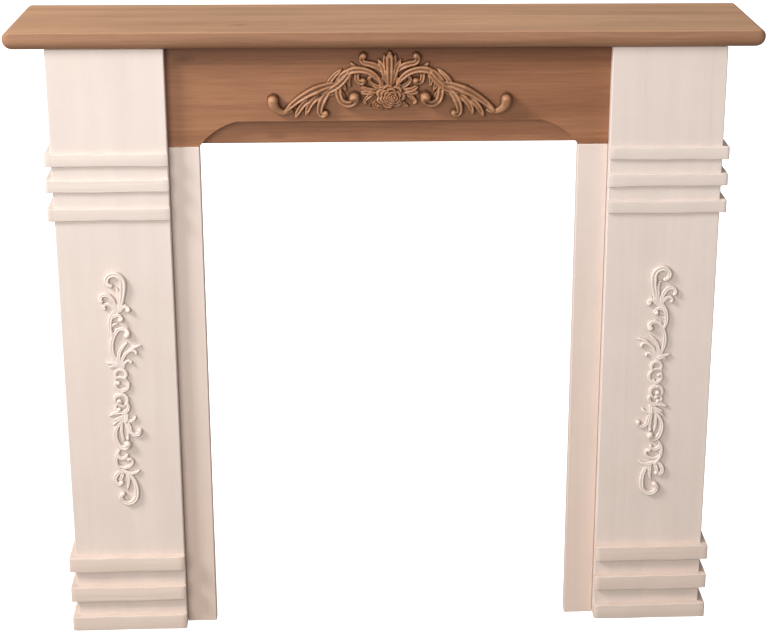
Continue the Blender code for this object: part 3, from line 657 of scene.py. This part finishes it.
class Shading:
    """Builds a node material line by line."""

    def __init__(self, name):
        self.material = bpy.data.materials.new(name)
        self.material.use_nodes = True
        self.tree = self.material.node_tree
        self.shader = self.tree.nodes["Principled BSDF"]
        self.place = self.add("ShaderNodeTexCoord").outputs["Object"]

    def add(self, kind, **settings):
        node = self.tree.nodes.new(kind)
        for key, value in settings.items():
            setattr(node, key, value)
        return node

    def link(self, source, target):
        self.tree.links.new(source, target)

    def put(self, value, socket):
        if isinstance(value, bpy.types.NodeSocket):
            self.link(value, socket)
        else:
            socket.default_value = value

    def stretched(self, scale, offset=(0, 0, 0)):
        node = self.add("ShaderNodeMapping")
        self.link(self.place, node.inputs["Vector"])
        node.inputs["Scale"].default_value = scale
        node.inputs["Location"].default_value = offset
        return node.outputs["Vector"]

    def coordinate(self, axis):
        """One coordinate of the place, by its letter."""
        node = self.add("ShaderNodeSeparateXYZ")
        self.link(self.place, node.inputs[0])
        return node.outputs[axis]

    def noise(self, vector, detail, roughness=0.5, distortion=0.0):
        node = self.add("ShaderNodeTexNoise")
        self.link(vector, node.inputs["Vector"])
        node.inputs["Scale"].default_value = 1.0
        node.inputs["Detail"].default_value = detail
        node.inputs["Roughness"].default_value = roughness
        node.inputs["Distortion"].default_value = distortion
        return node.outputs["Fac"]

    def cells(self, vector):
        """The distance to the nearest of a scatter of points."""
        node = self.add("ShaderNodeTexVoronoi")
        self.link(vector, node.inputs["Vector"])
        node.inputs["Scale"].default_value = 1.0
        return node.outputs["Distance"]

    def ramp(self, value, stops):
        node = self.add("ShaderNodeValToRGB")
        self.put(value, node.inputs["Fac"])
        elements = node.color_ramp.elements
        while len(elements) < len(stops):
            elements.new(0.5)
        for element, (position, colour) in zip(elements, stops):
            element.position = position
            element.color = (*colour, 1.0)
        return node.outputs["Color"]

    def spread(self, value, low, high, to_low=0.0, to_high=1.0):
        """The value carried over from one range to another, and held at its ends."""
        node = self.add("ShaderNodeMapRange")
        self.put(value, node.inputs["Value"])
        node.inputs["From Min"].default_value = low
        node.inputs["From Max"].default_value = high
        node.inputs["To Min"].default_value = to_low
        node.inputs["To Max"].default_value = to_high
        return node.outputs["Result"]

    def maths(self, operation, a, b):
        node = self.add("ShaderNodeMath", operation=operation)
        self.put(a, node.inputs[0])
        self.put(b, node.inputs[1])
        return node.outputs["Value"]

    def mix(self, share, a, b, blend="MIX"):
        node = self.add("ShaderNodeMix", data_type="RGBA", blend_type=blend)
        self.put(share, node.inputs["Factor"])
        for value, socket in ((a, node.inputs[6]), (b, node.inputs[7])):
            if isinstance(value, tuple):
                value = (*value, 1.0)
            self.put(value, socket)
        return node.outputs[2]

    def shaded(self, colour, shade):
        """The colour times a grey value."""
        grey = self.add("ShaderNodeCombineColor")
        for channel in ("Red", "Green", "Blue"):
            self.link(shade, grey.inputs[channel])
        return self.mix(1.0, colour, grey.outputs["Color"], "MULTIPLY")

    def tinted(self, share, colour, tint):
        """The colour times a tint, as far as the share says."""
        return self.mix(share, colour, self.mix(1.0, colour, tint, "MULTIPLY"))

    def crease_shaded(self, colour, strength, deep):
        """The colour, going over to a deep one in the carving's creases: painted shade."""
        depth = self.add("ShaderNodeAttribute", attribute_name="crease_shade").outputs["Fac"]
        return self.mix(self.maths("MULTIPLY", depth, strength), colour, deep)

    def bump(self, height, distance, strength=1.0, under=None):
        node = self.add("ShaderNodeBump")
        node.inputs["Distance"].default_value = distance
        node.inputs["Strength"].default_value = strength
        self.link(height, node.inputs["Height"])
        if under:
            self.link(under, node.inputs["Normal"])
        return node.outputs["Normal"]

    def finish(self, colour, roughness, normal):
        self.put(colour, self.shader.inputs["Base Color"])
        self.put(roughness, self.shader.inputs["Roughness"])
        self.link(normal, self.shader.inputs["Normal"])
        self.shader.inputs["Specular IOR Level"].default_value = SPECULAR
        return self.material


def stained_wood(name, stain, offset, gloss=0.5, knots=0.5, crease_shade=0.0, edge_below=None, shaded_to=None):
    """Brown stain on straight-grained timber, the grain along X, with a few knots."""
    s = Shading(name)
    knot = s.spread(s.cells(s.stretched(KNOT_SCALE, offset)), 0.02, 0.09, knots, 0.0)
    broad = s.noise(s.stretched(BROAD_SCALE, offset), detail=5, roughness=0.55, distortion=0.6)
    streaks = s.noise(s.stretched(STREAK_SCALE, offset), detail=4, roughness=0.6)
    fibres = s.noise(s.stretched(FIBRE_SCALE, offset), detail=3, roughness=0.6)
    blotches = s.noise(s.stretched(BLOTCH_SCALE, offset), detail=3, roughness=0.5)
    grain = s.maths("ADD", s.maths("MULTIPLY", broad, 0.6), s.maths("MULTIPLY", streaks, 0.4))
    colour = s.ramp(grain, ((0.30, stain.dark), (0.5, stain.middle), (0.70, stain.light)))
    pores = s.spread(fibres, 0.36, 0.55, 0.86, 1.0)
    patchy = s.spread(blotches, 0.3, 0.7, 0.9, 1.07)
    colour = s.shaded(colour, s.maths("MULTIPLY", pores, patchy))
    colour = s.mix(knot, colour, darkened(stain.dark, KNOT_DARKNESS))
    if edge_below:
        edge = s.spread(s.coordinate("Z"), edge_below, edge_below - EDGE_FADE)
        colour = s.tinted(edge, colour, EDGE_TINT)
    if shaded_to:
        # Painted shade: the frieze darkens towards the shelf above it, where the shelf's shadow falls.
        under_shelf_shade = s.spread(s.coordinate("Z"), shaded_to - UNDER_SHELF_SHADE_DEPTH, shaded_to)
        colour = s.tinted(under_shelf_shade, colour, UNDER_SHELF_SHADE_TINT)
        # Painted shade: the frieze darkens towards the right, as the key lamp's light falls off.
        rightward_shade = s.spread(s.coordinate("X"), -RIGHT_FADE, RIGHT_FADE)
        colour = s.tinted(rightward_shade, colour, RIGHT_SHADE_TINT)
    # Painted shade in the carving's creases.
    if crease_shade:
        colour = s.crease_shaded(colour, crease_shade, darkened(stain.dark, STAIN_CREASE_SHADE))
    roughness = s.spread(streaks, 0.3, 0.7, gloss - 0.07, gloss + 0.1)
    normal = s.bump(fibres, 0.0002, 0.5)
    normal = s.bump(broad, 0.0012, 0.35, normal)
    return s.finish(colour, roughness, normal)


def brushed_paint(name, colour, warm, brushed_along, offset, grain=0.35, crease_shade=0.0, foot_shade=0.0):
    """Cream paint with brush marks along one axis, the timber's grain showing faintly through."""
    s = Shading(name)
    brush_scale = tuple(BRUSH_SCALE[axis != brushed_along] for axis in "XYZ")
    board_scale = tuple(BOARD_SCALE[axis != brushed_along] for axis in "XYZ")
    strokes = s.noise(s.stretched(brush_scale, offset), detail=3, roughness=0.55)
    boards = s.noise(s.stretched(board_scale, offset), detail=4, roughness=0.55, distortion=0.5)
    mottle = s.noise(s.stretched(MOTTLE_SCALE, offset), detail=4, roughness=0.6)
    specks = s.noise(s.stretched(SPECK_SCALE, offset), detail=2, roughness=0.5)
    tint = s.mix(s.spread(mottle, 0.35, 0.7, 0.0, 0.55), colour, warm)
    faint = s.spread(boards, 0.3, 0.62, 0.955, 1.01)
    speck = s.spread(specks, 0.22, 0.3, 0.93, 1.0)
    tint = s.shaded(tint, s.maths("MULTIPLY", faint, speck))
    # Painted shade: the paint darkens and warms towards the foot.
    if foot_shade:
        tint = s.tinted(s.spread(s.coordinate("Z"), FOOT_SHADE_FROM, FOOT_SHADE_FULL, 0.0, foot_shade), tint, FOOT_SHADE_TINT)
    # Painted shade in the carving's creases.
    if crease_shade:
        tint = s.crease_shaded(tint, crease_shade, darkened(colour, CREAM_CREASE_SHADE))
    roughness = s.spread(strokes, 0.3, 0.7, 0.48, 0.66)
    normal = s.bump(strokes, 0.0003, grain)
    normal = s.bump(boards, 0.0015, grain, normal)
    return s.finish(tint, roughness, normal)


def plain_floor():
    """A white sweep that glows by itself, so that no shadow shows on it."""
    s = Shading("floor")
    s.shader.inputs["Emission Color"].default_value = (1, 1, 1, 1)
    s.shader.inputs["Emission Strength"].default_value = FLOOR_GLOW
    cloud = s.noise(s.stretched((2, 2, 2)), detail=3)
    colour = s.mix(s.spread(cloud, 0.3, 0.7), (0.93, 0.925, 0.925), (0.95, 0.945, 0.945))
    return s.finish(colour, 0.9, s.bump(cloud, 0.0002, 0.1))


def make_finishes():
    """Every finish of the surround, by what it is for."""
    edge_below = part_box("mantel_shelf")[1].z - EDGE_START
    shaded_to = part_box("frieze_board")[1].z
    return {
        "shelf": stained_wood("shelf_wood", SHELF_STAIN, (0, 0, 0), edge_below=edge_below),
        "frieze": stained_wood("frieze_wood", FRIEZE_STAIN, (3, 1, 2), shaded_to=shaded_to),
        "rail": stained_wood("rail_wood", RAIL_STAIN, (7, 4, 5)),
        "frieze carving": stained_wood(
            "carving_wood", CARVING_STAIN, (5, 8, 1), gloss=0.42, knots=0.0, crease_shade=0.95
        ),
        "upright": brushed_paint("paint_upright", CREAM, WARM_CREAM, "Z", (0, 0, 0), foot_shade=0.3),
        "slip": brushed_paint("paint_slip", SLIP_CREAM, WARM_CREAM, "Z", (4, 4, 4), foot_shade=0.6),
        "lath": brushed_paint("paint_lath", LATH_CREAM, WARM_CREAM, "X", (2, 6, 1), grain=0.9, foot_shade=0.6),
        "side lath": brushed_paint(
            "paint_side_lath", LATH_CREAM, WARM_CREAM, "Y", (9, 3, 1), grain=0.6, foot_shade=0.6
        ),
        "pilaster carving": brushed_paint(
            "paint_carved", CARVED_CREAM, CARVED_WARM_CREAM, "Z", (1, 2, 3), grain=0.2, crease_shade=0.35
        ),
    }


def finish_word(name):
    """What the finish of a solid of the frame is for, by the solid's name."""
    if name.endswith("side_lath"):
        return "side lath"
    if name.endswith("front_lath"):
        return "lath"
    if name.startswith("slip"):
        return "slip"
    if name == "arch_rail":
        return "rail"
    if name in ("frieze_board", "frieze_carving"):
        return "frieze"
    if name == "mantel_shelf":
        return "shelf"
    return "upright"


def dress_nodes(finishes):
    """Gives every solid of the frame its finish."""
    for name, node in nodes.items():
        node.data.materials.clear()
        node.data.materials.append(finishes[finish_word(name)])


def waver(length, seed, count):
    """A slow, uneven wander about 0 along a hand-cut edge, the same every time for one seed."""
    along = np.linspace(0, length, count)
    wander = np.zeros(count)
    for k, wave in enumerate(LATH_WAVES):
        wander += math.sin(seed * (k + 2.3)) * np.sin(2 * math.pi * along / wave + seed * (5.1 + k))
        wander += 0.6 * np.cos(2 * math.pi * along / (0.7 * wave) + seed * (1.7 + 2 * k)) / (k + 1)
    return wander / 1.6


def corner_reach(angle, proud):
    """How far a lath stands out at its corner, at an angle round from the front to the side."""
    square = min(proud / math.cos(angle), LATH_PROUD / math.sin(angle))
    forward, out = proud - LATH_CORNER, LATH_PROUD - LATH_CORNER
    along = forward * math.cos(angle) + out * math.sin(angle)
    spread = along**2 - forward**2 - out**2 + LATH_CORNER**2
    if spread <= 0:
        return square
    return min(square, along + math.sqrt(spread))


def lath_stations(side, span, front, back, proud):
    """Places along the lath's foot line, from the inner end round the corner to the wall.

    Each place has the direction that the lath stands out in and how far.
    """
    inner, outer = span
    stations = []
    for x in np.linspace(inner, outer, round((outer - inner) / LATH_STEP)):
        from_end = min(1.0, (x - inner) / LATH_CORNER)
        share = min(1.0, LATH_END_PROUD + (1 - LATH_END_PROUD) * math.sqrt(from_end))
        stations.append(((side * x, front), (0.0, -1.0), proud * share))
    for angle in np.linspace(0, math.pi / 2, LATH_CORNER_STEPS + 1)[1:-1]:
        direction = (side * math.sin(angle), -math.cos(angle))
        stations.append(((side * outer, front), direction, corner_reach(angle, proud)))
    for y in np.linspace(front, back, round((back - front) / LATH_STEP)):
        stations.append(((side * outer, y), (side * 1.0, 0.0), LATH_PROUD))
    return stations


def lath_section(height, reach):
    """The lath's section from its foot to its top: how far out, and how high."""
    section = [(LATH_SEAT, 0.0)]
    for angle in quarter_turn(LATH_UNDER_STEPS):
        out = reach - LATH_UNDER_ROUND * (1 - math.sin(angle))
        section.append((out, LATH_UNDER_ROUND * (1 - math.cos(angle))))
    for angle in quarter_turn(LATH_TOP_STEPS):
        out = reach - LATH_TOP_ROUND * (1 - math.cos(angle))
        section.append((out, height - LATH_TOP_ROUND * (1 - math.sin(angle))))
    section.append((LATH_SEAT, height))
    return section


def build_lath(side, word, kind, row, drop, material):
    """One course of lath as a single strip that wraps the pilaster's corner."""
    nodes_here = [f"{kind}_{word}_{row}_{place}_lath" for place in ("front", "side")]
    low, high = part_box(nodes_here[0])
    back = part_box(nodes_here[1])[1].y
    span = sorted((abs(low.x), abs(high.x)))
    stations = lath_stations(side, span, low.y + LATH_PROUD, back, FRONT_PROUD[kind])
    height = high.z - low.z
    length = len(stations) * LATH_STEP
    seed = 1.0 + 3.7 * row + 1.9 * side + (0.8 if kind == "base" else 0.0)
    swell, foot, top = [LATH_WAVER * waver(length, seed + shift, len(stations)) for shift in (0, 11, 23)]
    vertices = []
    for k, ((x, y), (dx, dy), reach) in enumerate(stations):
        section = lath_section(height, reach + 0.5 * swell[k] - 0.5 * LATH_WAVER)
        for out, up in section:
            level = up / height
            settle = (1 - level) * max(foot[k], -low.z) + level * top[k]
            z = max(low.z + up - drop + settle, 0.0)
            vertices.append((x + dx * out, y + dy * out, z))
    count = len(section)
    faces = []
    for k in range(len(stations) - 1):
        for j in range(count):
            a, b = k * count + j, k * count + (j + 1) % count
            faces.append((a, a + count, b + count, b))
    faces.append(tuple(range(count)))
    faces.append(tuple(reversed(range(len(vertices) - count, len(vertices)))))
    if side < 0:
        faces = [face[::-1] for face in faces]
    mesh = bpy.data.meshes.new(f"{kind}_{word}_{row}")
    mesh.from_pydata(vertices, [], faces)
    smooth_but_for(mesh, SHARP_EDGE)
    lath = add_object(f"{kind}_{word}_{row}_lath", mesh, material)
    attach(lath, "root")
    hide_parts(*nodes_here)


def build_laths(material):
    for side, word in ((-1, "left"), (1, "right")):
        for row in range(LATH_COURSES):
            build_lath(side, word, "capital", row + 1, CAPITAL_DROPS[word][row], material)
            build_lath(side, word, "base", row + 1, BASE_DROPS[word][row], material)


def build_floor(material):
    corners = [(x * FLOOR_HALF, y * FLOOR_HALF, 0) for x, y in ((-1, -1), (1, -1), (1, 1), (-1, 1))]
    mesh = bpy.data.meshes.new("floor")
    mesh.from_pydata(corners, [], [(0, 1, 2, 3)])
    floor = add_object("floor", mesh, material)
    floor.location.z = -FLOOR_DROP
    floor.visible_diffuse = False
    floor.visible_glossy = False


def add_lamp(lamp):
    light = bpy.data.lights.new(lamp.name, "AREA")
    light.shape = "DISK"
    light.size = lamp.size
    light.energy = lamp.power
    light.color = lamp.colour
    obj = bpy.data.objects.new(lamp.name, light)
    bpy.context.scene.collection.objects.link(obj)
    obj.location = lamp.place
    obj.rotation_euler = (Vector(lamp.target) - Vector(lamp.place)).to_track_quat("-Z", "Y").to_euler()


def light_scene():
    """A soft sky, a broad key lamp from the upper left and a weak fill from the front."""
    world = bpy.data.worlds.new("studio")
    world.use_nodes = True
    tree = world.node_tree
    direction = tree.nodes.new("ShaderNodeTexCoord")
    towards = tree.nodes.new("ShaderNodeVectorMath")
    towards.operation = "DOT_PRODUCT"
    towards.inputs[1].default_value = SKY_SIDE
    strength = tree.nodes.new("ShaderNodeMapRange")
    strength.inputs["From Min"].default_value = SKY_FADE[0]
    strength.inputs["From Max"].default_value = SKY_FADE[1]
    strength.inputs["To Min"].default_value = SKY_LOW
    strength.inputs["To Max"].default_value = SKY_STRENGTH
    tree.links.new(direction.outputs["Generated"], towards.inputs[0])
    tree.links.new(towards.outputs["Value"], strength.inputs["Value"])
    tree.links.new(strength.outputs["Result"], tree.nodes["Background"].inputs["Strength"])
    tree.nodes["Background"].inputs["Color"].default_value = (*SKY_COLOUR, 1)
    bpy.context.scene.world = world
    for lamp in LAMPS:
        add_lamp(lamp)
    bpy.context.scene.view_settings.view_transform = "Standard"


def place_camera():
    camera = bpy.data.cameras.new("camera")
    camera.sensor_fit = "HORIZONTAL"
    camera.sensor_width = SENSOR
    camera.lens = FOCAL_PIXELS / IMAGE_WIDTH * SENSOR
    camera.shift_x = -SHIFT_PIXELS[0] / IMAGE_WIDTH
    camera.shift_y = SHIFT_PIXELS[1] / IMAGE_WIDTH
    camera.clip_end = CAMERA_SEES
    obj = bpy.data.objects.new("camera", camera)
    bpy.context.scene.collection.objects.link(obj)
    ahead = math.cos(CAMERA_PITCH)
    look = Vector((math.sin(CAMERA_YAW) * ahead, math.cos(CAMERA_YAW) * ahead, -math.sin(CAMERA_PITCH)))
    level = Vector((math.cos(CAMERA_YAW), -math.sin(CAMERA_YAW), 0))
    upright = level.cross(look)
    right = level * math.cos(CAMERA_ROLL) + upright * math.sin(CAMERA_ROLL)
    up = upright * math.cos(CAMERA_ROLL) - level * math.sin(CAMERA_ROLL)
    turn = Matrix((right, up, -look)).transposed()
    obj.matrix_world = Matrix.Translation(CAMERA_PLACE) @ turn.to_4x4()
    bpy.context.scene.camera = obj


finishes = make_finishes()
dress_nodes(finishes)
build_laths(finishes["lath"])
shelf = add_object("moulded_shelf", shelf_mesh(), finishes["shelf"])
stand_for(shelf, "mantel_shelf")
build_pilaster_carvings(finishes["pilaster carving"])
build_frieze_carving(finishes["frieze carving"])
build_floor(plain_floor())
light_scene()
place_camera()

bpy.context.view_layer.update()
